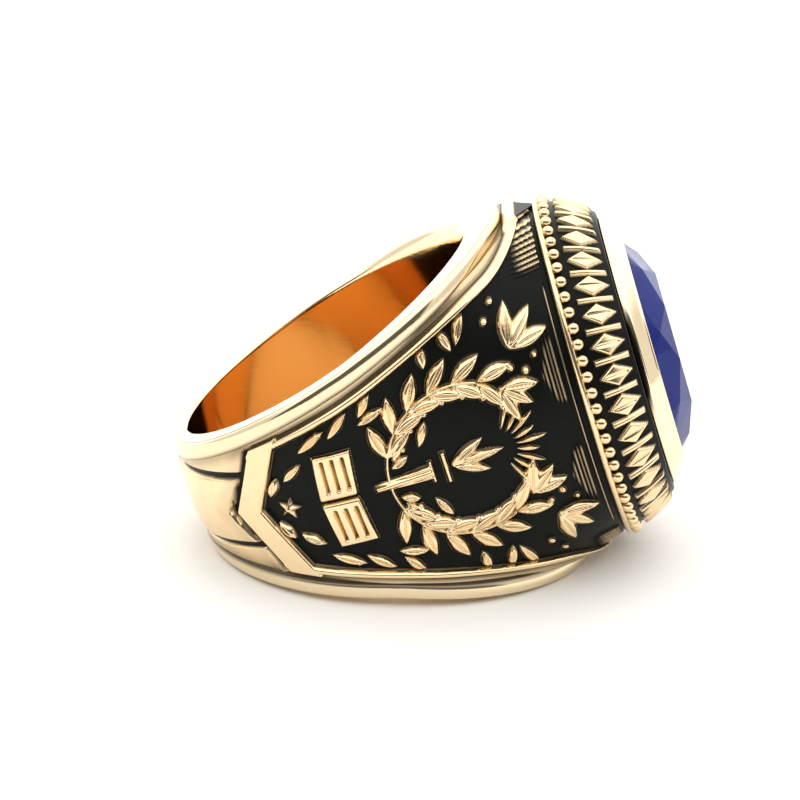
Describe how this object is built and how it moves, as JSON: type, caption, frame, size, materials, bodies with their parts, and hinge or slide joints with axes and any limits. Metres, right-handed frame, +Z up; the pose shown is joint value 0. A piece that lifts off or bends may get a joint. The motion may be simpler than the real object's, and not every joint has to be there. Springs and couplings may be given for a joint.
{
  "type": "class ring",
  "caption": "Heavy gold class ring lying on its side, with a wedge shaped band, raised side panels, a beaded bezel and a blue oval faceted stone in a collet.",
  "frame": {"origin": "middle of the resting ring's extent in X and Y, at the height of the surface that it rests on", "axes": "+X towards the head and the stone, +Y across the finger hole, +Z up; the ring rests on the worn flats of one rail, at the back and at the head, so the finger hole's axis leans back from +Z by the slope of that rail"},
  "size_m": [0.0328, 0.024, 0.0224],
  "materials": {
    "gold": "polished yellow gold, worn bright on the raised work, with black antiquing in the recesses",
    "polished_gold": "plain polished yellow gold",
    "stone": "deep blue transparent faceted stone with polished facets"
  },
  "bodies": {
    "root": {"ring_band": "gold", "collet": "polished_gold", "stone": "stone"}
  },
  "joints": []
}
